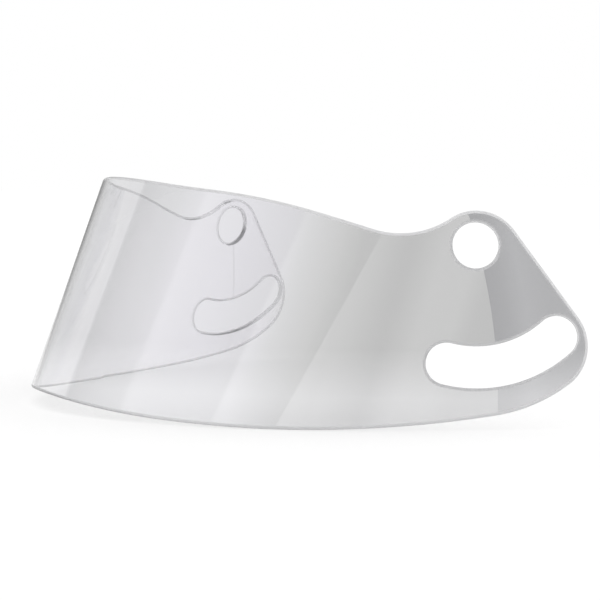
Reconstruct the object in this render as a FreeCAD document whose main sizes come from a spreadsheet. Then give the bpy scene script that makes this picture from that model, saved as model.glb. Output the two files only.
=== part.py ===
import FreeCAD, Part
import math
import os
import Sketcher

# Helmet visor: one sheet of clear plastic, cut to an outline, bent and creased.
#
# The sheet is bent one way only, about a line that leans back. It is drawn in that leaning frame:
# X runs to the wearer's left, Z along the rulings of the bend and Y from the front to the back,
# with zero height at the pivots. Each ear is flat, and its features are drawn on the plane of its
# outer face, about the pivot: right is rearward and up is along the rulings.

Vector = FreeCAD.Vector

# Driving dimensions in millimetres and degrees
SIZES = [
    # the bent sheet
    ("sheet_thickness", 2.5),
    ("lean_angle", 20.6),
    ("front_radius", 85.5),
    ("front_half_angle", 28.4),
    ("cheek_radius", 195.5),
    ("cheek_angle", 36.9),
    # the outline at the middle of the face
    ("front_height", 99.3),
    ("brow_drop", 12.8),
    ("brow_rise", 6.0),
    ("brow_radius", 335.0),
    ("chin_radius", 294.0),
    ("chin_angle", 10.5),
    # the pivot hole
    ("pivot_setback", 10.5),
    ("pivot_bore", 18.6),
    # the curved slot, on a circle round the pivot
    ("slot_radius", 49.0),
    ("slot_width", 16.8),
    ("slot_front_angle", 85.3),
    ("slot_rear_angle", 29.6),
    # the outline of the ear, set off from the hole and the slot
    ("notch_radius", 36.0),
    ("tip_margin", 9.6),
    ("tip_setback", 2.0),
    ("tip_drop", 4.4),
    ("rear_margin", 10.8),
    ("rear_lead", 5.0),
    ("rear_sink", 5.5),
    ("heel_margin", 11.0),
    ("heel_angle", 34.7),
    # the crease behind the pivot
    ("crease_radius", 240.0),
    ("crease_tilt", 27.4),
    ("crease_setback", 2.0),
    ("crease_drop", 25.0),
    ("crease_bend", 4.0),
    # what a cutting block reaches past the sheet
    ("overrun", 10.0),
]

doc = FreeCAD.newDocument("helmet_visor")
sheet = doc.addObject("Spreadsheet::Sheet", "sizes")
for row, (alias, value) in enumerate(SIZES, start=1):
    sheet.set(f"A{row}", alias)
    sheet.set(f"B{row}", str(value))
    sheet.setAlias(f"B{row}", alias)
doc.recompute()


def size(alias):
    return float(getattr(sheet, alias))


def sine(alias):
    return math.sin(math.radians(size(alias)))


def cosine(alias):
    return math.cos(math.radians(size(alias)))


# Formulas that bind a feature to the sheet
EAR_ANGLE = "(sizes.front_half_angle + sizes.cheek_angle)"
PIVOT_X = (
    "(sizes.front_radius * sin(sizes.front_half_angle)"
    f" + sizes.cheek_radius * (sin({EAR_ANGLE}) - sin(sizes.front_half_angle))"
    f" + sizes.pivot_setback * cos({EAR_ANGLE}))"
)
PIVOT_Y = (
    "(sizes.front_radius * (1 - cos(sizes.front_half_angle))"
    f" + sizes.cheek_radius * (cos(sizes.front_half_angle) - cos({EAR_ANGLE}))"
    f" + sizes.pivot_setback * sin({EAR_ANGLE}))"
)
TIP_RADIUS = "(sizes.pivot_bore / 2 + sizes.tip_margin)"
REAR_RADIUS = "(sizes.slot_width / 2 + sizes.rear_margin)"
REAR_SETBACK = "(sizes.slot_radius * cos(sizes.slot_rear_angle) - sizes.rear_lead)"
REAR_DROP = "(sizes.slot_radius * sin(sizes.slot_rear_angle) + sizes.rear_sink)"
HEEL_RADIUS = "(sizes.slot_radius + sizes.slot_width / 2 + sizes.heel_margin)"
EAR_REACH = f"({REAR_SETBACK} + {REAR_RADIUS} + sizes.pivot_setback)"

ear_angle = math.radians(size("front_half_angle") + size("cheek_angle"))
ear_back = Vector(math.cos(ear_angle), math.sin(ear_angle), 0)
ear_out = Vector(math.sin(ear_angle), -math.cos(ear_angle), 0)
front_centre = Vector(0, size("front_radius"), 0)
front_end = Vector(
    size("front_radius") * sine("front_half_angle"),
    size("front_radius") * (1 - cosine("front_half_angle")),
    0,
)
front_inward = Vector(-sine("front_half_angle"), cosine("front_half_angle"), 0)
cheek_centre = front_end + front_inward * size("cheek_radius")
ear_start = cheek_centre + ear_out * size("cheek_radius")
pivot = ear_start + ear_back * size("pivot_setback")
half_width = size("slot_width") / 2
tip_radius = size("pivot_bore") / 2 + size("tip_margin")
rear_radius = half_width + size("rear_margin")
heel_radius = size("slot_radius") + half_width + size("heel_margin")
rear_setback = size("slot_radius") * cosine("slot_rear_angle") - size("rear_lead")
rear_drop = size("slot_radius") * sine("slot_rear_angle") + size("rear_sink")


def polar(centre, radius, angle):
    """The point at an angle in radians round a centre"""
    return centre + Vector(math.cos(angle), math.sin(angle), 0) * radius


def arc(centre, radius, start, end):
    """The shorter arc round a centre between two points that lie on it, drawn anticlockwise"""
    angles = [math.atan2(point.y - centre.y, point.x - centre.x) for point in (start, end)]
    if (angles[1] - angles[0]) % (2 * math.pi) > math.pi:
        angles.reverse()
    return Part.ArcOfCircle(Part.Circle(centre, Vector(0, 0, 1), radius), *angles)


class Outline:
    """A sketch of lines and arcs in a chain, with constraints that the sheet drives"""

    def __init__(self, name, on_ear):
        self.sketch = doc.addObject("Sketcher::SketchObject", name)
        self.ends = []
        if on_ear:
            self.sketch.setExpression(
                "Placement",
                f"placement(vector({PIVOT_X}; {PIVOT_Y}; 0); rotation({EAR_ANGLE}; 0; 90))",
            )

    def line(self, start, end):
        self.sketch.addGeometry(Part.LineSegment(start, end))
        self.ends.append((start, end))
        return len(self.ends) - 1

    def arc(self, centre, radius, start, end):
        self.sketch.addGeometry(arc(centre, radius, start, end))
        self.ends.append((start, end))
        return len(self.ends) - 1

    def end(self, item, point):
        """Which end of an item lies nearer to a point: 1 its start and 2 its end"""
        curve = self.sketch.Geometry[item]
        near_start = (curve.StartPoint - point).Length < (curve.EndPoint - point).Length
        return 1 if near_start else 2

    def join(self, kind, first, second):
        """Ties the end of one item to the start of the next, as a corner or a smooth run"""
        point = self.ends[first][1]
        places = (first, self.end(first, point), second, self.end(second, point))
        self.sketch.addConstraint(Sketcher.Constraint(kind, *places))

    def start_of(self, item):
        return item, self.end(item, self.ends[item][0])

    def end_of(self, item):
        return item, self.end(item, self.ends[item][1])

    def bind(self, kind, places, value, formula):
        index = self.sketch.addConstraint(Sketcher.Constraint(kind, *places, value))
        self.sketch.setExpression(f"Constraints[{index}]", formula)

    def radius(self, item, alias, formula=None):
        value = self.sketch.Geometry[item].Radius
        self.bind("Radius", (item,), value, formula or f"sizes.{alias}")

    def place(self, item, end, x, y, formula_x, formula_y):
        """Holds a point of an item at a place given by two formulas"""
        self.bind("DistanceX", (-1, 1, item, end), x, formula_x)
        self.bind("DistanceY", (-1, 1, item, end), y, formula_y)


# The section square to the rulings, one half of it
section = Outline("bend_section", on_ear=False)
thickness = size("sheet_thickness")
ear_reach = rear_setback + rear_radius + size("pivot_setback")
ear_end = ear_start + ear_back * ear_reach
front_inner = front_end + front_inward * thickness
outer_front = section.arc(front_centre, size("front_radius"), Vector(), front_end)
outer_cheek = section.arc(cheek_centre, size("cheek_radius"), front_end, ear_start)
outer_ear = section.line(ear_start, ear_end)
ear_edge = section.line(ear_end, ear_end - ear_out * thickness)
inner_ear = section.line(ear_end - ear_out * thickness, ear_start - ear_out * thickness)
inner_cheek = section.arc(
    cheek_centre, size("cheek_radius") - thickness, ear_start - ear_out * thickness, front_inner
)
inner_front = section.arc(
    front_centre, size("front_radius") - thickness, front_inner, Vector(0, thickness, 0)
)
middle_edge = section.line(Vector(0, thickness, 0), Vector())
section.join("Tangent", outer_front, outer_cheek)
section.join("Tangent", outer_cheek, outer_ear)
section.join("Coincident", outer_ear, ear_edge)
section.join("Coincident", ear_edge, inner_ear)
section.join("Tangent", inner_ear, inner_cheek)
section.join("Tangent", inner_cheek, inner_front)
section.join("Coincident", inner_front, middle_edge)
section.join("Coincident", middle_edge, outer_front)
add = section.sketch.addConstraint
add(Sketcher.Constraint("Coincident", *section.start_of(outer_front), -1, 1))
add(Sketcher.Constraint("PointOnObject", outer_front, 3, -2))
add(Sketcher.Constraint("Coincident", outer_front, 3, inner_front, 3))
add(Sketcher.Constraint("Coincident", outer_cheek, 3, inner_cheek, 3))
add(Sketcher.Constraint("Vertical", middle_edge))
add(Sketcher.Constraint("Perpendicular", outer_ear, ear_edge))
add(Sketcher.Constraint("Perpendicular", ear_edge, inner_ear))
section.radius(outer_front, "front_radius")
section.radius(outer_cheek, "cheek_radius")
section.bind("Distance", (middle_edge,), thickness, "sizes.sheet_thickness")
section.bind(
    "DistanceX",
    (-1, 1, *section.end_of(outer_front)),
    front_end.x,
    "sizes.front_radius * sin(sizes.front_half_angle)",
)
section.bind("Angle", (-1, 1, *section.start_of(outer_ear)), ear_angle, f"{EAR_ANGLE} * 1 deg")
section.bind("Distance", (outer_ear,), ear_reach, EAR_REACH)

# The outline of one half, seen square to its ear
face_reach = pivot.dot(ear_back)
tip = Vector(size("tip_setback"), -size("tip_drop"), 0)
rear = Vector(rear_setback, -rear_drop, 0)
brow_low = -size("brow_drop")
brow_high = brow_low + size("brow_rise")
chin_low = brow_low - size("front_height")
brow_run = math.sqrt(size("brow_radius") * size("brow_rise") - (size("brow_rise") / 2) ** 2)
brow_middle = Vector(-face_reach + brow_run, (brow_low + brow_high) / 2, 0)
brow_end = Vector(-face_reach + 2 * brow_run, brow_high, 0)
notch_rise = brow_high + size("notch_radius") - tip.y
notch_run = math.sqrt((size("notch_radius") + tip_radius) ** 2 - notch_rise ** 2)
notch = Vector(tip.x - notch_run, brow_high + size("notch_radius"), 0)
notch_start = Vector(notch.x, brow_high, 0)
tip_start = tip + (notch - tip).normalize() * tip_radius
slope = math.atan2(rear.y - tip.y, rear.x - tip.x)
lean_in = math.asin((tip_radius - rear_radius) / (rear - tip).Length)
square = slope + math.pi / 2 - lean_in
tip_end = polar(tip, tip_radius, square)
rear_start = polar(rear, rear_radius, square)
heel_angle = math.radians(size("heel_angle"))
heel_back = Vector(math.cos(heel_angle), -math.sin(heel_angle), 0)
heel = rear - heel_back * (heel_radius - rear_radius)
rear_end = rear + heel_back * rear_radius
chin_angle = math.radians(size("chin_angle"))
chin = Vector(-face_reach, chin_low + size("chin_radius"), 0)
chin_end = polar(chin, size("chin_radius"), chin_angle - math.pi / 2)
chin_inward = (chin - chin_end).normalize()
across = heel - chin_end
clear = across.dot(chin_inward) - heel_radius
jaw_radius = (across.Length ** 2 - heel_radius ** 2) / (2 * clear)
jaw = chin_end + chin_inward * jaw_radius
heel_end = heel + (heel - jaw).normalize() * heel_radius
beyond = Vector(-size("overrun"), 0, 0)
brow_start = Vector(-face_reach, brow_low, 0)
brow_lower = brow_start + Vector(0, size("brow_radius"), 0)
brow_upper = brow_end - Vector(0, size("brow_radius"), 0)
chin_start = Vector(-face_reach, chin_low, 0)

outline = Outline("half_outline", on_ear=True)
brow_lead = outline.line(brow_start + beyond, brow_start)
brow_rising = outline.arc(brow_lower, size("brow_radius"), brow_start, brow_middle)
brow_levelling = outline.arc(brow_upper, size("brow_radius"), brow_middle, brow_end)
brow_line = outline.line(brow_end, notch_start)
notch_arc = outline.arc(notch, size("notch_radius"), notch_start, tip_start)
tip_arc = outline.arc(tip, tip_radius, tip_start, tip_end)
rear_line = outline.line(tip_end, rear_start)
rear_arc = outline.arc(rear, rear_radius, rear_start, rear_end)
heel_arc = outline.arc(heel, heel_radius, rear_end, heel_end)
jaw_arc = outline.arc(jaw, jaw_radius, heel_end, chin_end)
chin_arc = outline.arc(chin, size("chin_radius"), chin_end, chin_start)
chin_lead = outline.line(chin_start, chin_start + beyond)
closing = outline.line(chin_start + beyond, brow_start + beyond)
smooth_run = (
    brow_lead, brow_rising, brow_levelling, brow_line, notch_arc, tip_arc, rear_line,
    rear_arc, heel_arc, jaw_arc, chin_arc, chin_lead,
)
for first, second in zip(smooth_run, smooth_run[1:]):
    outline.join("Tangent", first, second)
outline.join("Coincident", chin_lead, closing)
outline.join("Coincident", closing, brow_lead)
add = outline.sketch.addConstraint
for level in (brow_lead, brow_line, chin_lead):
    add(Sketcher.Constraint("Horizontal", level))
add(Sketcher.Constraint("Vertical", closing))
add(Sketcher.Constraint("Equal", brow_rising, brow_levelling))
outline.radius(brow_rising, "brow_radius")
outline.radius(notch_arc, "notch_radius")
outline.radius(tip_arc, None, TIP_RADIUS)
outline.radius(rear_arc, None, REAR_RADIUS)
outline.radius(heel_arc, None, HEEL_RADIUS)
outline.radius(chin_arc, "chin_radius")
FACE_REACH = f"({PIVOT_X} * cos({EAR_ANGLE}) + {PIVOT_Y} * sin({EAR_ANGLE}))"
CHIN_LOW = "(sizes.brow_drop + sizes.front_height)"
outline.place(*outline.end_of(brow_lead), -face_reach, brow_low, f"-{FACE_REACH}", "-sizes.brow_drop")
outline.bind(
    "DistanceY", (-1, 1, *outline.start_of(brow_line)), brow_high, "sizes.brow_rise - sizes.brow_drop"
)
outline.place(tip_arc, 3, tip.x, tip.y, "sizes.tip_setback", "-sizes.tip_drop")
outline.place(rear_arc, 3, rear.x, rear.y, REAR_SETBACK, f"-{REAR_DROP}")
outline.bind(
    "DistanceX",
    (heel_arc, 3, rear_arc, 3),
    rear.x - heel.x,
    f"({HEEL_RADIUS} - {REAR_RADIUS}) * cos(sizes.heel_angle)",
)
outline.place(*outline.start_of(chin_lead), -face_reach, chin_low, f"-{FACE_REACH}", f"-{CHIN_LOW}")
outline.bind(
    "DistanceX",
    (-1, 1, *outline.end_of(jaw_arc)),
    chin_end.x,
    f"sizes.chin_radius * sin(sizes.chin_angle) - {FACE_REACH}",
)
outline.bind("Distance", (chin_lead,), size("overrun"), "sizes.overrun")

# The crease, an arc across the ear behind the pivot
crease_tilt = math.radians(size("crease_tilt"))
crease_side = Vector(math.cos(crease_tilt), math.sin(crease_tilt), 0)
crease_down = Vector(math.sin(crease_tilt), -math.cos(crease_tilt), 0)
crease_middle = crease_side * size("crease_setback") + crease_down * size("crease_drop")
crease_centre = crease_middle - crease_side * size("crease_radius")
crease_half = math.asin(size("front_height") / 2 / size("crease_radius"))
crease_top = polar(crease_centre, size("crease_radius"), crease_tilt + crease_half)
crease_foot = polar(crease_centre, size("crease_radius"), crease_tilt - crease_half)
flap_reach = crease_side * ear_reach
CREASE_LEAD = "(sizes.crease_setback - sizes.crease_radius)"
CREASE_X = f"{CREASE_LEAD} * cos(sizes.crease_tilt) + sizes.crease_drop * sin(sizes.crease_tilt)"
CREASE_Y = f"{CREASE_LEAD} * sin(sizes.crease_tilt) - sizes.crease_drop * cos(sizes.crease_tilt)"


def add_crease(target):
    """The crease's arc in a sketch, held by its centre, its radius and its two ends"""
    item = target.arc(crease_centre, size("crease_radius"), crease_top, crease_foot)
    target.radius(item, "crease_radius")
    target.place(item, 3, crease_centre.x, crease_centre.y, CREASE_X, CREASE_Y)
    for (_, end), point, sign in (
        (target.start_of(item), crease_top, "+"),
        (target.end_of(item), crease_foot, "-"),
    ):
        half = "asin(sizes.front_height / 2 / sizes.crease_radius)"
        target.bind(
            "DistanceY",
            (item, 3, item, end),
            point.y - crease_centre.y,
            f"sizes.crease_radius * sin(sizes.crease_tilt * 1 deg {sign} {half})",
        )
    return item


crease = Outline("crease_line", on_ear=True)
add_crease(crease)
behind = Outline("behind_crease", on_ear=True)
behind_arc = add_crease(behind)
behind_foot = behind.line(crease_foot, crease_foot + flap_reach)
behind_end = behind.line(crease_foot + flap_reach, crease_top + flap_reach)
behind_top = behind.line(crease_top + flap_reach, crease_top)
behind.join("Coincident", behind_arc, behind_foot)
behind.join("Coincident", behind_foot, behind_end)
behind.join("Coincident", behind_end, behind_top)
behind.join("Coincident", behind_top, behind_arc)
add = behind.sketch.addConstraint
add(Sketcher.Constraint("Parallel", behind_foot, behind_top))
add(Sketcher.Constraint("Equal", behind_foot, behind_top))
behind.bind("Angle", (-1, 1, *behind.start_of(behind_foot)), crease_tilt, "sizes.crease_tilt * 1 deg")
behind.bind("Distance", (behind_foot,), ear_reach, EAR_REACH)

# The pivot hole and the curved slot
bore = Outline("pivot_hole", on_ear=True)
bore.sketch.addGeometry(Part.Circle(Vector(), Vector(0, 0, 1), size("pivot_bore") / 2))
bore.sketch.addConstraint(Sketcher.Constraint("Coincident", 0, 3, -1, 1))
bore.bind("Diameter", (0,), size("pivot_bore"), "sizes.pivot_bore")

slot = Outline("slot_outline", on_ear=True)
front_turn = math.radians(-size("slot_front_angle"))
rear_turn = math.radians(-size("slot_rear_angle"))
inner_radius = size("slot_radius") - half_width
outer_radius = size("slot_radius") + half_width
slot_front = polar(Vector(), size("slot_radius"), front_turn)
slot_rear = polar(Vector(), size("slot_radius"), rear_turn)
inner_start = polar(Vector(), inner_radius, front_turn)
inner_end = polar(Vector(), inner_radius, rear_turn)
outer_start = polar(Vector(), outer_radius, rear_turn)
outer_end = polar(Vector(), outer_radius, front_turn)


def round_end(centre, start, end, turn):
    """A half circle that closes one end of the slot, bulging towards a direction"""
    circle = Part.Circle(centre, Vector(0, 0, 1), half_width)
    slot.sketch.addGeometry(Part.ArcOfCircle(circle, turn - math.pi / 2, turn + math.pi / 2))
    slot.ends.append((start, end))
    return len(slot.ends) - 1


inner_arc = slot.arc(Vector(), inner_radius, inner_start, inner_end)
rear_round = round_end(slot_rear, inner_end, outer_start, rear_turn + math.pi / 2)
outer_arc = slot.arc(Vector(), outer_radius, outer_start, outer_end)
front_round = round_end(slot_front, outer_end, inner_start, front_turn - math.pi / 2)
slot_run = (inner_arc, rear_round, outer_arc, front_round, inner_arc)
for first, second in zip(slot_run, slot_run[1:]):
    slot.join("Tangent", first, second)
slot.sketch.addConstraint(Sketcher.Constraint("Coincident", inner_arc, 3, outer_arc, 3))
slot.radius(inner_arc, None, "sizes.slot_radius - sizes.slot_width / 2")
slot.radius(front_round, None, "sizes.slot_width / 2")
slot.sketch.addConstraint(Sketcher.Constraint("Coincident", inner_arc, 3, -1, 1))
for item, point, alias in (
    (front_round, slot_front, "slot_front_angle"),
    (rear_round, slot_rear, "slot_rear_angle"),
):
    slot.bind(
        "DistanceX",
        (inner_arc, 3, item, 3),
        point.x,
        f"sizes.slot_radius * cos(sizes.{alias})",
    )


def extrude(name, base, forward, back, solid=True):
    """Pulls a sketch square to its plane, outwards by one formula and inwards by another"""
    feature = doc.addObject("Part::Extrusion", name)
    feature.Base = base.sketch
    feature.DirMode = "Normal"
    feature.Solid = solid
    feature.setExpression("LengthFwd", forward)
    feature.setExpression("LengthRev", back)
    return feature


def combine(kind, name, **links):
    feature = doc.addObject(kind, name)
    for link, target in links.items():
        setattr(feature, link, target)
    return feature


# One half of the bent sheet, trimmed to the outline and drilled
EAR_HIGH = f"(sizes.overrun + {TIP_RADIUS} - sizes.tip_drop)"
CUT_OUT = "sizes.overrun"
CUT_IN = "sizes.overrun + sizes.sheet_thickness"
bent_half = extrude("bent_half", section, EAR_HIGH, f"{CHIN_LOW} + sizes.overrun")
behind_block = extrude("behind_block", behind, CUT_OUT, CUT_IN)
front_half = combine("Part::Cut", "front_half", Base=bent_half, Tool=behind_block)
crease_face = extrude("crease_face", crease, "0", "sizes.sheet_thickness", solid=False)
flap = doc.addObject("Part::Extrusion", "flap")
flap.Base = crease_face
flap.DirMode = "Custom"
flap.Solid = True
turn = math.radians(size("crease_bend"))
flap.Dir = (
    (ear_back * crease_side.x + Vector(0, 0, crease_side.y)) * math.cos(turn) - ear_out * math.sin(turn)
)
FLAP_ON = "cos(sizes.crease_bend) * cos(sizes.crease_tilt)"
flap.setExpression("Dir.x", f"{FLAP_ON} * cos({EAR_ANGLE}) - sin(sizes.crease_bend) * sin({EAR_ANGLE})")
flap.setExpression("Dir.y", f"{FLAP_ON} * sin({EAR_ANGLE}) + sin(sizes.crease_bend) * cos({EAR_ANGLE})")
flap.setExpression("Dir.z", "cos(sizes.crease_bend) * sin(sizes.crease_tilt)")
flap.setExpression("LengthFwd", EAR_REACH)
creased_half = combine("Part::MultiFuse", "creased_half", Shapes=[front_half, flap])
outline_block = extrude("outline_block", outline, CUT_OUT, "sizes.front_radius + sizes.cheek_radius")
trimmed_half = combine("Part::Common", "trimmed_half", Base=creased_half, Tool=outline_block)
bore_block = extrude("bore_block", bore, CUT_OUT, CUT_IN)
slot_block = extrude("slot_block", slot, CUT_OUT, CUT_IN)
bored_half = combine("Part::Cut", "bored_half", Base=trimmed_half, Tool=bore_block)
left_half = combine("Part::Cut", "left_half", Base=bored_half, Tool=slot_block)
right_half = combine("Part::Mirroring", "right_half", Source=left_half, Normal=Vector(1, 0, 0))
both_halves = combine("Part::MultiFuse", "both_halves", Shapes=[left_half, right_half], Refine=True)

# The whole visor, leaned back and stood on the lowest points of its edge
leaning = combine("Part::Refine", "leaning", Source=both_halves)
leaning.setExpression("Placement", "placement(vector(0; 0; 0); rotation(0; 0; -sizes.lean_angle))")
doc.recompute()
box = leaning.Shape.optimalBoundingBox(False, False)
visor_shield = combine("Part::Refine", "visor_shield", Source=leaning)
visor_shield.Label = "visor_shield"
visor_shield.Placement = FreeCAD.Placement(
    Vector(0, -(box.YMin + box.YMax) / 2, -box.ZMin), FreeCAD.Rotation()
)
doc.recompute()

failed = [item.Name for item in doc.Objects if {"Invalid", "Error"} & set(item.State)]
if failed:
    raise RuntimeError(f"these objects failed: {failed}")
if visor_shield.Shape.isNull() or not visor_shield.Shape.isValid() or len(visor_shield.Shape.Solids) != 1:
    raise RuntimeError("visor_shield is not one valid solid")
os.makedirs("parts", exist_ok=True)
visor_shield.Shape.exportStep(f"parts/{visor_shield.Label}.step")
print("visor_shield volume in cubic millimetres:", round(visor_shield.Shape.Volume, 1))
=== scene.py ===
import math

import bmesh
import bpy
from mathutils import Matrix, Vector


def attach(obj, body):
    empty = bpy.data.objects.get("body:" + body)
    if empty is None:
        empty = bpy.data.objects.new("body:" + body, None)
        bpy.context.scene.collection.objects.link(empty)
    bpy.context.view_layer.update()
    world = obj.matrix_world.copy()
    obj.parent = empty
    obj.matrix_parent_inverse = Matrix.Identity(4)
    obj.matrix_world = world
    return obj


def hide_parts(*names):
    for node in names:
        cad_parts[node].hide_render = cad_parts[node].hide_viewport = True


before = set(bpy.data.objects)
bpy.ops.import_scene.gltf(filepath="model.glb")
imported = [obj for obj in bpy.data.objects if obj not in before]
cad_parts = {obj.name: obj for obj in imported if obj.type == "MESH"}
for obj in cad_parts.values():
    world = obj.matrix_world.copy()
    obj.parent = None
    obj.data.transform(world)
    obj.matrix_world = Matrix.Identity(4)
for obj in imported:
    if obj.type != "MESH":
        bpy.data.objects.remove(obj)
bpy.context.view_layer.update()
bpy.context.preferences.edit.use_global_undo = False

# A clear helmet visor: one sheet, cut flat, bent round the face, creased across each ear and leaned back.
# Its shape is in millimetres, which MM brings to the frame's metres.
MM = 0.001

# The bent sheet, and where it stands
SHEET = 2.5
LEAN = math.radians(20.6)
FRONT_RADIUS = 85.5
FRONT_TURN = math.radians(28.4)
CHEEK_RADIUS = 195.5
CHEEK_TURN = math.radians(36.9)
EAR_TURN = FRONT_TURN + CHEEK_TURN
FRONT_RUN = FRONT_RADIUS * FRONT_TURN
CHEEK_RUN = CHEEK_RADIUS * CHEEK_TURN
EAR_FROM = FRONT_RUN + CHEEK_RUN
STAND = Vector((0, -52.417, 112.437))

# The outline, the pivot hole and the slot, seen square to the ear and measured from the middle of the hole
HEIGHT = 99.3
BROW_DROP = 12.8
BROW_RISE = 6.0
BROW_RADIUS = 335.0
CHIN_RADIUS = 294.0
CHIN_TURN = math.radians(10.5)
PIVOT_SETBACK = 10.5
PIVOT_BORE = 18.6
SLOT_RADIUS = 49.0
SLOT_HALF = 8.4
SLOT_FRONT = math.radians(-85.3)
SLOT_REAR = math.radians(-29.6)
NOTCH_RADIUS = 36.0
TIP_MARGIN = 9.6
TIP_RADIUS = PIVOT_BORE / 2 + TIP_MARGIN
TIP = Vector((2.0, -4.4))
REAR_MARGIN = 10.8
REAR_RADIUS = SLOT_HALF + REAR_MARGIN
REAR_LEAD = 5.0
REAR_SINK = 5.5
HEEL_MARGIN = 11.0
HEEL_RADIUS = SLOT_RADIUS + SLOT_HALF + HEEL_MARGIN
HEEL_TURN = math.radians(34.7)

# The crease: its arc across the ear, and how far the flap behind it folds in
CREASE_RADIUS = 240.0
CREASE_TILT = math.radians(27.4)
CREASE_SETBACK = 2.0
CREASE_DROP = 25.0
CREASE_BEND = math.radians(4.0)

# The cut edge and its rounded rim
CHORD_SAG = 0.00375  # how far the straight pieces of an arc may leave it
STRAIGHT_STEP = 4.0
HOLE_POINTS = 80
RIM = 1.2
MERGE = 0.02
SQUARE_ENOUGH = 0.999  # a face whose normal is as upright as this is on a side of the sheet
FLAT_ENOUGH = math.radians(0.05)

# The scores, which let the sheet bend
BEND_STEP = 1.4
EAR_STEP = 5.0
EAR_UPRIGHTS = 14  # upright lines on each ear, from where it starts
EAR_LEVELS = range(-21, 4)  # level lines on each ear, counted in steps from the hole
EAR_MIDDLE = Vector((26, -35))  # from the hole to what the level lines cut round about
EAR_REACH = 75
CREASE_FIRST = -12.0  # degrees along the crease's arc
CREASE_STEP = 0.75
CREASE_POINTS = 41
CREASE_REACH = 5.5
SAME_PLACE = 0.001

# The finishes by their slots, and which faces of the rims take them: lit and shaded copies of one rim, with painted
# light on the inner half and painted shade on the outer half and round the openings
CLEAR_SHEET, INNER_RIM, OUTER_RIM, OPENING_RIM = range(4)
SKIN = 0.01  # a face as near as this to a side of the sheet belongs to it
RIM_MIDDLE = 0.1  # the height in the sheet at which the inner rim becomes the outer one
OPENING_BAND = 2  # how far the rim of an opening reaches from its edge

# What the finishes are graded by, in metres where it is a length
CREASE_MARK = 0.001  # the least that a corner behind the crease carries
TINT_AND_SHADE_REACH = 0.200  # the run from the middle of the face over which the tint and its painted shade are laid
FLAP_REACH = 0.025  # and the same behind the crease
LOW_EDGE = 0.032  # how high the painted light along the lower edge reaches
LOW_FADE = (0.095, 0.125)  # the run over which it falls to what is left of it under the ears
LOW_LEFT = 0.60
CHEEK_START = (0.055, 0.075)
SLANT_START = (0.20, 0.27)  # how much at a slant a cheek or an ear is when it begins and ends to clear
INSIDE_SLANT = 1.9  # how much more a slant counts from inside
PLASTIC_IOR = 1.585
MARK_DEPTH = 0.02
MARK_COOL = 0.01

# The studio, in metres
LAMP_TOWARDS = Vector((0, 0, 0.05))
LAMP_DISTANCE = 2.6
SOFT_WHITE = (0.95, 0.95, 0.95)
FLOOR_SIZE = 12
FLOOR_TONE = 0.50
FLOOR_LIFT = 0.54  # what its glow adds where the camera sees it, to bring it to white

# The camera stands off the wearer's left cheek, level with the sheet
CAMERA_AZIMUTH = 65.377
CAMERA_ELEVATION = 4.158
CAMERA_ROLL = 0.122
CAMERA_PLACE = (0.793108, -0.330926, 0.106873)
SENSOR = 36
LENS = 114.15
NEAR_CLIP = 0.05

# The white panels that gloss sees: the edge where each begins (the angle round, how far it leans, the height at
# which the angle holds, and how soft it is), and the tones at angles round from there. The first is behind them all.
PANELS = (
    (None, ((-180, 1.0), (-165, 0.7), (-128, 0.4), (-97, 0.4), (-86, 0.8), (-38, 0.95))),
    ((-38.1, 0.45, 19.5, 0.4), ((-38, 0.05), (-20, 0.25), (-2, 0.50))),
    ((-2.3, 0.55, 24.0, 1.2), ((-2, 1.0), (30, 0.20))),
    ((29.5, 1.4, 22.3, 1.0), ((28, 1.0), (36, 0.50), (46, 0.08))),
    ((43.1, 3.53, 16.2, 0.4), (
        (43, 1.0), (52, 0.95), (63, 0.25), (72, 0.80), (77, 0.70), (80, 0.12), (88, 0.10), (110, 1.0),
    )),
)


def turned(angle):
    return Vector((math.cos(angle), math.sin(angle)))


# The plan of one half, from the middle of the face to the ear, before the sheet is leaned
front_centre = Vector((0, FRONT_RADIUS))
front_end = Vector((math.sin(FRONT_TURN), 1 - math.cos(FRONT_TURN))) * FRONT_RADIUS
cheek_centre = front_end + Vector((-math.sin(FRONT_TURN), math.cos(FRONT_TURN))) * CHEEK_RADIUS
ear_out = Vector((math.sin(EAR_TURN), -math.cos(EAR_TURN)))
ear_back = Vector((math.cos(EAR_TURN), math.sin(EAR_TURN)))
ear_start = cheek_centre + ear_out * CHEEK_RADIUS
pivot = ear_start + ear_back * PIVOT_SETBACK
FACE_REACH = pivot.dot(ear_back)
PIVOT_RUN = EAR_FROM + PIVOT_SETBACK

# The crease's directions on the ear, square to it and down it, and the centre of its arc
crease_side = turned(CREASE_TILT)
crease_down = Vector((math.sin(CREASE_TILT), -math.cos(CREASE_TILT)))
crease_centre = crease_side * (CREASE_SETBACK - CREASE_RADIUS) + crease_down * CREASE_DROP


def sweep(centre, radius, start, end):
    """Points along the shorter arc round a centre, closer together the smaller it is"""
    first = math.atan2(start.y - centre.y, start.x - centre.x)
    turn = math.atan2(end.y - centre.y, end.x - centre.x) - first
    turn = (turn + math.pi) % (2 * math.pi) - math.pi
    count = max(2, round(abs(turn) * radius / math.sqrt(8 * CHORD_SAG * radius)))
    return [centre + turned(first + turn * i / count) * radius for i in range(count)]


def straight(start, end):
    count = max(1, round((end - start).length / STRAIGHT_STEP))
    return [start.lerp(end, i / count) for i in range(count)]


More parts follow.
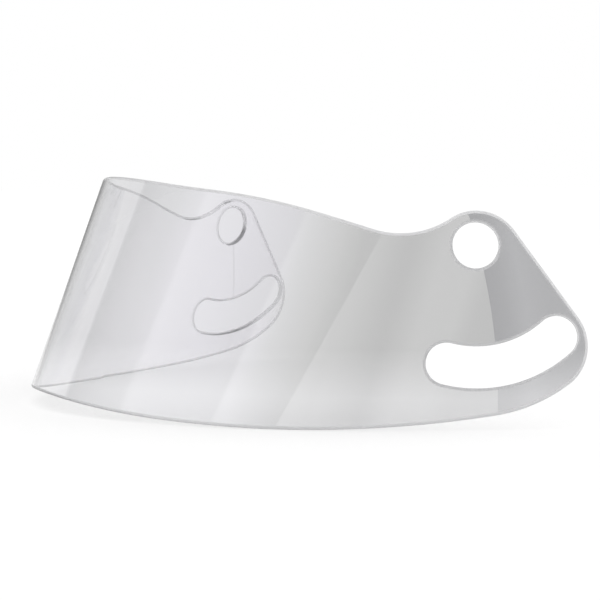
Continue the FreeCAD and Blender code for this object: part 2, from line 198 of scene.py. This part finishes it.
def ear_outline():
    """The edge of one half as it is seen square to its ear, from the middle of the brow to that of the chin"""
    low = -BROW_DROP
    high = low + BROW_RISE
    run = math.sqrt(BROW_RADIUS * BROW_RISE - (BROW_RISE / 2) ** 2)
    brow_start = Vector((-FACE_REACH, low))
    brow_middle = Vector((-FACE_REACH + run, (low + high) / 2))
    brow_end = Vector((-FACE_REACH + 2 * run, high))
    rise = high + NOTCH_RADIUS - TIP.y
    notch = Vector((TIP.x - math.sqrt((NOTCH_RADIUS + TIP_RADIUS) ** 2 - rise ** 2), high + NOTCH_RADIUS))
    notch_start = Vector((notch.x, high))
    tip_start = TIP + (notch - TIP).normalized() * TIP_RADIUS
    rear = turned(SLOT_REAR) * SLOT_RADIUS - Vector((REAR_LEAD, REAR_SINK))
    slope = math.atan2(rear.y - TIP.y, rear.x - TIP.x)
    square = turned(slope + math.pi / 2 - math.asin((TIP_RADIUS - REAR_RADIUS) / (rear - TIP).length))
    tip_end = TIP + square * TIP_RADIUS
    rear_start = rear + square * REAR_RADIUS
    heel_back = turned(-HEEL_TURN)
    rear_end = rear + heel_back * REAR_RADIUS
    heel = rear - heel_back * (HEEL_RADIUS - REAR_RADIUS)
    chin = Vector((-FACE_REACH, low - HEIGHT + CHIN_RADIUS))
    chin_middle = Vector((-FACE_REACH, low - HEIGHT))
    chin_end = chin + turned(CHIN_TURN - math.pi / 2) * CHIN_RADIUS
    # the jaw's arc carries on from the chin's and touches the heel's
    inward = (chin - chin_end).normalized()
    across = heel - chin_end
    jaw_radius = (across.length_squared - HEEL_RADIUS ** 2) / (2 * (across.dot(inward) - HEEL_RADIUS))
    jaw = chin_end + inward * jaw_radius
    heel_end = heel + (heel - jaw).normalized() * HEEL_RADIUS
    points = sweep(brow_start + Vector((0, BROW_RADIUS)), BROW_RADIUS, brow_start, brow_middle)
    points += sweep(brow_end - Vector((0, BROW_RADIUS)), BROW_RADIUS, brow_middle, brow_end)
    points += straight(brow_end, notch_start)
    points += sweep(notch, NOTCH_RADIUS, notch_start, tip_start)
    points += sweep(TIP, TIP_RADIUS, tip_start, tip_end)
    points += straight(tip_end, rear_start)
    points += sweep(rear, REAR_RADIUS, rear_start, rear_end)
    points += sweep(heel, HEEL_RADIUS, rear_end, heel_end)
    points += sweep(jaw, jaw_radius, heel_end, chin_end)
    points += sweep(chin, CHIN_RADIUS, chin_end, chin_middle)
    return points + [chin_middle]


def ear_slot():
    """The curved slot round the pivot, with round ends"""
    front = turned(SLOT_FRONT) * SLOT_RADIUS
    rear = turned(SLOT_REAR) * SLOT_RADIUS
    near = SLOT_RADIUS - SLOT_HALF
    far = SLOT_RADIUS + SLOT_HALF
    beyond_rear = rear + turned(SLOT_REAR + math.pi / 2) * SLOT_HALF
    beyond_front = front + turned(SLOT_FRONT - math.pi / 2) * SLOT_HALF
    middle = Vector((0, 0))
    points = sweep(middle, near, turned(SLOT_FRONT) * near, turned(SLOT_REAR) * near)
    points += sweep(rear, SLOT_HALF, turned(SLOT_REAR) * near, beyond_rear)
    points += sweep(rear, SLOT_HALF, beyond_rear, turned(SLOT_REAR) * far)
    points += sweep(middle, far, turned(SLOT_REAR) * far, turned(SLOT_FRONT) * far)
    points += sweep(front, SLOT_HALF, turned(SLOT_FRONT) * far, beyond_front)
    points += sweep(front, SLOT_HALF, beyond_front, turned(SLOT_FRONT) * near)
    return points


def ear_hole():
    return [turned(2 * math.pi * i / HOLE_POINTS) * (PIVOT_BORE / 2) for i in range(HOLE_POINTS)]


def unroll(point):
    """The place on the flat sheet of a point seen square to the ear, measured from the middle of the face"""
    reach = point.x + FACE_REACH
    ear_reach = ear_start.dot(ear_back)
    cheek_reach = front_end.dot(ear_back)
    if reach >= ear_reach:
        run = EAR_FROM + reach - ear_reach
    elif reach >= cheek_reach:
        turn = EAR_TURN + math.asin((reach - cheek_centre.dot(ear_back)) / CHEEK_RADIUS)
        run = FRONT_RUN + (turn - FRONT_TURN) * CHEEK_RADIUS
    else:
        run = (EAR_TURN + math.asin((reach - front_centre.dot(ear_back)) / FRONT_RADIUS)) * FRONT_RADIUS
    return Vector((run, point.y))


def mirrored(points):
    return [Vector((-point.x, point.y)) for point in reversed(points)]


def draw(curve, points):
    """A closed line on the flat sheet"""
    spline = curve.splines.new("POLY")
    spline.points.add(len(points) - 1)
    for place, point in zip(spline.points, points):
        place.co = (point.x * MM, point.y * MM, 0, 1)
    spline.use_cyclic_u = True


def cut_sheet():
    """The flat sheet with its holes and its rims rounded over, left in edit mode for the scores"""
    edge = [unroll(point) for point in ear_outline()]
    edge[0].x = edge[-1].x = 0
    curve = bpy.data.curves.new("visor_sheet", "CURVE")
    curve.dimensions = "2D"
    curve.fill_mode = "BOTH"
    draw(curve, edge + mirrored(edge[1:-1]))
    for opening in (ear_hole(), ear_slot()):
        points = [unroll(point) for point in opening]
        draw(curve, points)
        draw(curve, mirrored(points))
    curve.extrude = (SHEET / 2 - RIM) * MM
    curve.bevel_depth = RIM * MM
    curve.bevel_resolution = 2
    curve.offset = -RIM * MM
    sheet = bpy.data.objects.new("visor_sheet", curve)
    bpy.context.scene.collection.objects.link(sheet)
    bpy.ops.object.select_all(action="DESELECT")
    sheet.select_set(True)
    bpy.context.view_layer.objects.active = sheet
    bpy.ops.object.convert(target="MESH")
    bpy.ops.object.mode_set(mode="EDIT")
    bpy.ops.mesh.select_all(action="SELECT")
    bpy.ops.mesh.remove_doubles(threshold=MERGE * MM)
    bpy.ops.mesh.normals_make_consistent(inside=False)
    # the two sides of the sheet become one face each, so that the scores alone divide them
    bpy.ops.mesh.select_all(action="DESELECT")
    for face in bmesh.from_edit_mesh(sheet.data).faces:
        face.select_set(abs(face.normal.z) > SQUARE_ENOUGH)
    bpy.ops.mesh.dissolve_limited(angle_limit=FLAT_ENOUGH)
    return sheet


def score(place, square, near=None, reach=0.0):
    """Cuts the faces that a plane crosses, all of them or those near a place on the sheet"""
    if near is None:
        bpy.ops.mesh.select_all(action="SELECT")
    else:
        bpy.ops.mesh.select_all(action="DESELECT")
        mesh = bmesh.from_edit_mesh(bpy.context.object.data)
        spot = near * MM
        for face in mesh.faces:
            centre = face.calc_center_median()
            if (Vector((centre.x, centre.y)) - spot).length < reach * MM:
                face.select_set(True)
    bpy.ops.mesh.bisect(
        plane_co=(place.x * MM, place.y * MM, 0), plane_no=(square.x, square.y, 0), threshold=SAME_PLACE * MM
    )


def crease_points():
    """The crease on the flat sheet, from above the ear to below it"""
    turns = [math.radians(CREASE_FIRST + CREASE_STEP * i) for i in range(CREASE_POINTS)]
    return [
        crease_centre + (crease_side * math.cos(turn) + crease_down * math.sin(turn)) * CREASE_RADIUS
        + Vector((PIVOT_RUN, 0)) for turn in turns
    ]


def score_sheet():
    """Lines across the sheet where it bends, over the ears and along the creases"""
    upright = Vector((1, 0))
    level = Vector((0, 1))
    half = math.floor(EAR_FROM / BEND_STEP)
    for i in range(-half, half + 1):
        score(Vector((i * BEND_STEP, 0)), upright)
    for side in (-1, 1):
        ear_middle = Vector((side * (PIVOT_RUN + EAR_MIDDLE.x), EAR_MIDDLE.y))
        for i in range(EAR_UPRIGHTS):
            score(Vector((side * (EAR_FROM + EAR_STEP * i), 0)), upright)
        for i in EAR_LEVELS:
            score(Vector((0, EAR_STEP * i)), level, ear_middle, EAR_REACH)
        line = crease_points()
        for start, end in zip(line, line[1:]):
            along = (end - start).normalized()
            middle = (start + end) / 2
            place = Vector((side * middle.x, middle.y))
            score(place, Vector((side * along.y, -along.x)), place, CREASE_REACH)
    bpy.ops.object.mode_set(mode="OBJECT")


def flap_fall(run, height):
    """How far inwards the flap lies at a place on the ear, and how fast it falls along and up the ear"""
    offset = Vector((run - PIVOT_RUN, height)) - crease_centre
    along = offset.dot(crease_down)
    arc = math.sqrt(CREASE_RADIUS ** 2 - along ** 2)
    fall = math.tan(CREASE_BEND)
    return (offset.dot(crease_side) - arc) * fall, (crease_side + crease_down * (along / arc)) * fall


def beside_opening(run, height):
    """Whether a place on the ear lies on the rim of the hole or of the slot"""
    spot = Vector((run - PIVOT_RUN, height))
    turn = math.atan2(spot.y, spot.x)
    band = SLOT_HALF + OPENING_BAND
    round_slot = SLOT_FRONT < turn < SLOT_REAR and abs(spot.length - SLOT_RADIUS) < band
    ends = [(turned(end) * SLOT_RADIUS - spot).length < band for end in (SLOT_FRONT, SLOT_REAR)]
    return spot.length < PIVOT_BORE / 2 + OPENING_BAND or round_slot or any(ends)


def finish_at(middle):
    """The material slot of a face, by its middle on the flat sheet"""
    if SKIN - SHEET / 2 < middle.z < RIM_MIDDLE:
        return INNER_RIM
    if RIM_MIDDLE < middle.z < SHEET / 2 - SKIN:
        return OPENING_RIM if beside_opening(abs(middle.x), middle.y) else OUTER_RIM
    return CLEAR_SHEET


def stations(run):
    """The directions along the bend, up the sheet and outwards at a run from the middle, and the place there"""
    reach = abs(run)
    side = math.copysign(1, run)
    if reach <= FRONT_RUN:
        turn = reach / FRONT_RADIUS
        out = Vector((math.sin(turn), -math.cos(turn)))
        place = front_centre + out * FRONT_RADIUS
    elif reach <= EAR_FROM:
        turn = FRONT_TURN + (reach - FRONT_RUN) / CHEEK_RADIUS
        out = Vector((math.sin(turn), -math.cos(turn)))
        place = cheek_centre + out * CHEEK_RADIUS
    else:
        out = ear_out
        place = ear_start + ear_back * (reach - EAR_FROM)
    return (
        Vector((-out.y, side * out.x, 0)),
        Vector((0, 0, 1)),
        Vector((side * out.x, out.y, 0)),
        Vector((side * place.x, place.y, 0)),
    )


def bend_sheet(sheet):
    """Bends the flat sheet round the face, folds its flaps in at the creases and leans it back"""
    mesh = sheet.data
    flat = [vertex.co / MM for vertex in mesh.vertices]
    smooth = [vertex.normal.copy() for vertex in mesh.vertices]
    for index, place in enumerate(flat):
        if abs(abs(place.z) - SHEET / 2) < SAME_PLACE:
            smooth[index] = Vector((0, 0, math.copysign(1, place.z)))
    lean = Matrix.Rotation(-LEAN, 3, "X")
    shine = [Vector((0, 0, 1))] * len(mesh.loops)
    mesh.uv_layers.new(name="along_sheet")
    mesh.attributes.new("behind_crease", "FLOAT", "CORNER")
    mesh.attributes.new("sheet_out", "FLOAT_VECTOR", "CORNER")
    # read once all three are there, because a new layer moves the others
    laid = mesh.uv_layers["along_sheet"].data
    folded = mesh.attributes["behind_crease"].data
    outward = mesh.attributes["sheet_out"].data
    for face in mesh.polygons:
        middle = sum((flat[i] for i in face.vertices), Vector()) / len(face.vertices)
        behind = abs(middle.x) > EAR_FROM and flap_fall(abs(middle.x), middle.y)[0] > 0
        face.material_index = finish_at(middle)
        for corner in face.loop_indices:
            index = mesh.loops[corner].vertex_index
            across, along, out, _ = stations(flat[index].x)
            normal = smooth[index].copy()
            laid[corner].uv = (flat[index].x * MM, flat[index].y * MM)
            outward[corner].vector = lean @ out
            if behind:
                depth, slope = flap_fall(abs(flat[index].x), flat[index].y)
                folded[corner].value = CREASE_MARK + max(0.0, depth) / math.tan(CREASE_BEND) * MM
                normal.x += math.copysign(slope.x, flat[index].x) * normal.z
                normal.y += slope.y * normal.z
            shine[corner] = lean @ (across * normal.x + along * normal.y + out * normal.z).normalized()
    for vertex, place in zip(mesh.vertices, flat):
        across, along, out, base = stations(place.x)
        depth = 0.0
        if abs(place.x) > EAR_FROM:
            depth = max(0.0, flap_fall(abs(place.x), place.y)[0])
        bent = base + along * place.y + out * (place.z - SHEET / 2 - depth)
        vertex.co = (lean @ bent + STAND) * MM
    mesh.shade_smooth()
    mesh.normals_split_custom_set(shine)


def new_finish(name):
    """A new material, its nodes and its shader"""
    material = bpy.data.materials.new(name)
    material.use_nodes = True
    return material, material.node_tree, material.node_tree.nodes["Principled BSDF"]


def reckoned(tree, operation, *values):
    """What a Math node makes of numbers and of other nodes' outputs"""
    node = tree.nodes.new("ShaderNodeMath")
    node.operation = operation
    for value, socket in zip(values, node.inputs):
        if isinstance(value, float):
            socket.default_value = value
        else:
            tree.links.new(value, socket)
    return node.outputs[0]


def rescaled(tree, source, low, high, first=0.0, last=1.0, smooth=False):
    """A value moved from one range to another, and held at its ends"""
    node = tree.nodes.new("ShaderNodeMapRange")
    node.interpolation_type = "SMOOTHSTEP" if smooth else "LINEAR"
    node.inputs["From Min"].default_value = low
    node.inputs["From Max"].default_value = high
    node.inputs["To Min"].default_value = first
    node.inputs["To Max"].default_value = last
    tree.links.new(source, node.inputs["Value"])
    return node.outputs["Result"]


def toned(tree, source, stops):
    """The colour for a value, from pairs of a place and a grey level or colour"""
    node = tree.nodes.new("ShaderNodeValToRGB")
    elements = node.color_ramp.elements
    while len(elements) < len(stops):
        elements.new(1.0)
    for element, (place, tone) in zip(elements, stops):
        element.position = place
        element.color = (tone, tone, tone, 1) if isinstance(tone, float) else (*tone, 1)
    tree.links.new(source, node.inputs["Fac"])
    return node.outputs["Color"]


def blended(tree, factor, first, second):
    """Two colours mixed by a factor"""
    node = tree.nodes.new("ShaderNodeMix")
    node.data_type = "RGBA"
    tree.links.new(factor, node.inputs[0])
    for value, socket in ((first, node.inputs[6]), (second, node.inputs[7])):
        if isinstance(value, tuple):
            socket.default_value = (*value, 1)
        else:
            tree.links.new(value, socket)
    return node.outputs[2]


def axes_of(tree, source):
    node = tree.nodes.new("ShaderNodeSeparateXYZ")
    tree.links.new(source, node.inputs["Vector"])
    return node.outputs


def own_place(tree):
    return tree.nodes.new("ShaderNodeTexCoord").outputs["Object"]


def written(tree, name):
    """What the sheet's corners carry under a name"""
    node = tree.nodes.new("ShaderNodeAttribute")
    node.attribute_name = name
    return node.outputs


def marks_of(tree, scale, detail):
    """The cloudy marks of a worn or a cut surface"""
    node = tree.nodes.new("ShaderNodeTexNoise")
    node.inputs["Scale"].default_value = scale
    node.inputs["Detail"].default_value = detail
    tree.links.new(own_place(tree), node.inputs["Vector"])
    return node.outputs["Fac"]


def looked_at(tree, path):
    """One for what the camera sees, straight, through the sheet or in its gloss, and nought for what lights things"""
    seen = reckoned(tree, "MAXIMUM", path.outputs["Is Camera Ray"], path.outputs["Is Transmission Ray"])
    return reckoned(tree, "MAXIMUM", seen, path.outputs["Is Glossy Ray"])


def sheet_run(tree):
    """How far a place on the sheet lies from the middle of the face, in metres"""
    laid = tree.nodes.new("ShaderNodeUVMap")
    laid.uv_map = "along_sheet"
    return reckoned(tree, "ABSOLUTE", axes_of(tree, laid.outputs["UV"])["X"])


def at_a_slant(tree, run, square=None):
    """Nought where a cheek or an ear is seen square, one where it is seen at a slant from either face"""
    facing = tree.nodes.new("ShaderNodeLayerWeight")
    facing.inputs["Blend"].default_value = 0.5
    if square is not None:
        tree.links.new(square, facing.inputs["Normal"])
    side = tree.nodes.new("ShaderNodeNewGeometry")
    inside = reckoned(tree, "MULTIPLY_ADD", side.outputs["Backfacing"], INSIDE_SLANT, 1.0)
    slant = reckoned(tree, "MULTIPLY", facing.outputs["Facing"], inside)
    slanting = rescaled(tree, slant, *SLANT_START, smooth=True)
    off_the_front = rescaled(tree, run, *CHEEK_START, smooth=True)
    return reckoned(tree, "MULTIPLY", slanting, off_the_front)


def clear_plastic():
    """Clear plastic with a faint grey tint, and painted shade and painted light laid into its colour"""
    material, tree, plastic = new_finish("clear_sheet")
    plastic.inputs["Transmission Weight"].default_value = 1.0
    plastic.inputs["IOR"].default_value = PLASTIC_IOR
    # a faint grey tint, with painted shade in it that deepens from the face to the ears and is deepest on the flap
    # behind the crease
    run = sheet_run(tree)
    smoke_and_painted_shade = toned(tree, rescaled(tree, run, 0.0, TINT_AND_SHADE_REACH), [
        (0.0, (0.78, 0.78, 0.792)), (0.10, (0.73, 0.73, 0.742)), (0.14, (0.715, 0.715, 0.728)),
        (0.25, (0.745, 0.745, 0.762)), (0.31, (0.790, 0.784, 0.812)), (0.42, (0.772, 0.766, 0.798)),
        (0.525, (0.735, 0.730, 0.755)), (0.56, (0.70, 0.70, 0.71)), (0.635, 0.64), (0.68, 0.572),
        (0.75, 0.545), (0.785, 0.54), (0.84, 0.565), (0.90, 0.56), (0.94, 0.51), (1.0, 0.50),
    ])
    folded = written(tree, "behind_crease")["Fac"]
    # the flap behind the crease takes a darker painted shade
    flap = toned(tree, rescaled(tree, folded, 0.0, FLAP_REACH), [
        (0.0, (0.418, 0.418, 0.428)), (0.25, (0.438, 0.438, 0.448)), (0.6, (0.495, 0.495, 0.506)),
        (1.0, (0.470, 0.470, 0.480)),
    ])
    sheet_tint_and_painted_shade = blended(tree, reckoned(tree, "GREATER_THAN", folded, CREASE_MARK / 2), smoke_and_painted_shade, flap)
    # painted light along the lower edge, palest there and less so under the ears
    height = axes_of(tree, own_place(tree))["Z"]
    low = toned(tree, rescaled(tree, height, 0.0, LOW_EDGE), [
        (0.0, 0.92), (0.15, 0.70), (0.40, 0.69), (0.70, 0.34), (1.0, 0.0),
    ])
    painted_light_low_edge = reckoned(tree, "MULTIPLY", low, rescaled(tree, run, *LOW_FADE, 1.0, LOW_LEFT))
    graded = blended(tree, painted_light_low_edge, sheet_tint_and_painted_shade, (0.97, 0.97, 0.985))
    # the tint and its painted shade clear where a cheek or an ear is seen at a slant, from either face
    tint = blended(tree, at_a_slant(tree, run), graded, (0.975, 0.97, 0.98))
    tree.links.new(tint, plastic.inputs["Base Color"])
    polish = rescaled(tree, marks_of(tree, 60.0, 3.0), 0.0, 1.0, 0.01, 0.03)
    tree.links.new(polish, plastic.inputs["Roughness"])
    return material


def matt_rim(name, tone, clear, cover, faint, rough_low, rough_high):
    """A matt rim, faintly marked at random and fainter where its sheet is seen at a slant, in a tone that is painted
    light or painted shade
    """
    material, tree, plastic = new_finish(name)
    plastic.inputs["Transmission Weight"].default_value = clear
    plastic.inputs["IOR"].default_value = PLASTIC_IOR
    slant = at_a_slant(tree, sheet_run(tree), written(tree, "sheet_out")["Vector"])
    tree.links.new(rescaled(tree, slant, 0.0, 1.0, cover, faint), plastic.inputs["Alpha"])
    marks = marks_of(tree, 220.0, 4.0)
    dark = tone - MARK_DEPTH
    pale = tone + MARK_DEPTH
    shade = toned(tree, marks, [(0.3, (dark, dark, dark + MARK_COOL)), (0.7, (pale, pale, pale + MARK_COOL))])
    tree.links.new(shade, plastic.inputs["Base Color"])
    tree.links.new(rescaled(tree, marks, 0.0, 1.0, rough_low, rough_high), plastic.inputs["Roughness"])
    return material


sheet = cut_sheet()
score_sheet()
bend_sheet(sheet)
# in the order of CLEAR_SHEET, INNER_RIM, OUTER_RIM and OPENING_RIM
sheet.data.materials.append(clear_plastic())
# one cut edge in three tones: painted light on the inner half, painted shade on the outer half, and darker painted
# shade on the outer half round the hole and the slot
sheet.data.materials.append(matt_rim("inner_rim_painted_light", 0.96, 0.25, 0.60, 0.48, 0.32, 0.48))
sheet.data.materials.append(matt_rim("outer_rim_painted_shade", 0.80, 0.5, 0.95, 0.45, 0.32, 0.48))
sheet.data.materials.append(matt_rim("opening_rim_painted_shade", 0.46, 0.97, 0.90, 0.45, 0.08, 0.14))
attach(sheet, "root")
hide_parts("visor_shield")


def heading(azimuth, elevation):
    """The direction in which something lies, from degrees round from the front and up from the level"""
    azimuth, elevation = math.radians(azimuth), math.radians(elevation)
    return Vector((
        math.sin(azimuth) * math.cos(elevation),
        -math.cos(azimuth) * math.cos(elevation),
        math.sin(elevation),
    ))


def light_panel(name, azimuth, elevation, size, power):
    """A soft square lamp that faces the object"""
    lamp = bpy.data.lights.new(name, "AREA")
    lamp.shape = "RECTANGLE"
    lamp.size = size
    lamp.size_y = size
    lamp.energy = power
    panel = bpy.data.objects.new(name, lamp)
    bpy.context.scene.collection.objects.link(panel)
    out = heading(azimuth, elevation)
    right = Vector((0, 0, 1)).cross(out).normalized()
    turn = Matrix((right, out.cross(right), out)).transposed().to_4x4()
    panel.matrix_world = Matrix.Translation(LAMP_TOWARDS + out * LAMP_DISTANCE) @ turn


def bearing(angle):
    """The place on a ramp of an angle round, from straight behind the object and back to there"""
    return (angle + 180) / 360


def past_edge(tree, azimuth, elevation, angle, lean, level, softness):
    """Nought before and one beyond a panel's edge"""
    leaning = reckoned(tree, "SUBTRACT", azimuth, reckoned(tree, "MULTIPLY", elevation, lean))
    start = angle - lean * level
    return rescaled(tree, leaning, start - softness, start + softness, smooth=True)


def light_the_world():
    """A plain white world, in which gloss sees white panels with darker gaps between them"""
    world = bpy.data.worlds.new("studio")
    bpy.context.scene.world = world
    world.use_nodes = True
    tree = world.node_tree
    compass = axes_of(tree, tree.nodes.new("ShaderNodeTexCoord").outputs["Generated"])
    front = reckoned(tree, "MULTIPLY", compass["Y"], -1.0)
    azimuth = reckoned(tree, "DEGREES", reckoned(tree, "ARCTAN2", compass["X"], front))
    elevation = reckoned(tree, "DEGREES", reckoned(tree, "ARCSINE", compass["Z"]))
    round_about = rescaled(tree, azimuth, -180.0, 180.0)
    panels = None
    for edge, tones in PANELS:
        panel = toned(tree, round_about, [(bearing(angle), tone) for angle, tone in tones])
        panels = blended(tree, past_edge(tree, azimuth, elevation, *edge), panels, panel) if edge else panel
    # light that has gone through more than one wall, or run along inside one, comes out plain
    path = tree.nodes.new("ShaderNodeLightPath")
    glossy = reckoned(tree, "GREATER_THAN", path.outputs["Glossy Depth"], 0.5)
    direct = reckoned(tree, "LESS_THAN", path.outputs["Transmission Depth"], 2.5)
    shown = blended(tree, reckoned(tree, "MULTIPLY", glossy, direct), (1.0, 1.0, 1.0), panels)
    lit = blended(tree, looked_at(tree, path), SOFT_WHITE, shown)
    tree.links.new(lit, tree.nodes["Background"].inputs["Color"])


def lay_floor():
    """A plain pale floor that looks white and keeps the object's shadow"""
    bpy.ops.object.select_all(action="DESELECT")
    bpy.ops.mesh.primitive_plane_add(size=FLOOR_SIZE, location=(0, 0, 0))
    floor = bpy.context.object
    floor.name = "floor"
    material, tree, paper = new_finish("floor_paper")
    paper.inputs["Base Color"].default_value = (FLOOR_TONE, FLOOR_TONE, FLOOR_TONE, 1)
    paper.inputs["Roughness"].default_value = 1.0
    paper.inputs["Specular IOR Level"].default_value = 0.0
    paper.inputs["Emission Color"].default_value = (1, 1, 1, 1)
    path = tree.nodes.new("ShaderNodeLightPath")
    lift = reckoned(tree, "MULTIPLY", looked_at(tree, path), FLOOR_LIFT)
    tree.links.new(lift, paper.inputs["Emission Strength"])
    floor.data.materials.append(material)
    return floor


def set_camera():
    """The camera of the photograph, turned about its own line of sight by its roll"""
    roll = math.radians(CAMERA_ROLL)
    azimuth = math.radians(CAMERA_AZIMUTH)
    back = heading(CAMERA_AZIMUTH, CAMERA_ELEVATION)
    level_right = Vector((math.cos(azimuth), math.sin(azimuth), 0))
    level_up = back.cross(level_right)
    right = level_right * math.cos(roll) + level_up * math.sin(roll)
    up = level_up * math.cos(roll) - level_right * math.sin(roll)
    lens = bpy.data.cameras.new("camera")
    lens.sensor_width = SENSOR
    lens.lens = LENS
    lens.clip_start = NEAR_CLIP
    camera = bpy.data.objects.new("camera", lens)
    bpy.context.scene.collection.objects.link(camera)
    camera.matrix_world = Matrix.Translation(CAMERA_PLACE) @ Matrix((right, up, back)).transposed().to_4x4()
    bpy.context.scene.camera = camera


light_panel("top_panel", 150, 60, 2.0, 4.0)
light_the_world()
floor = lay_floor()
set_camera()
bpy.context.scene.view_settings.view_transform = "Standard"
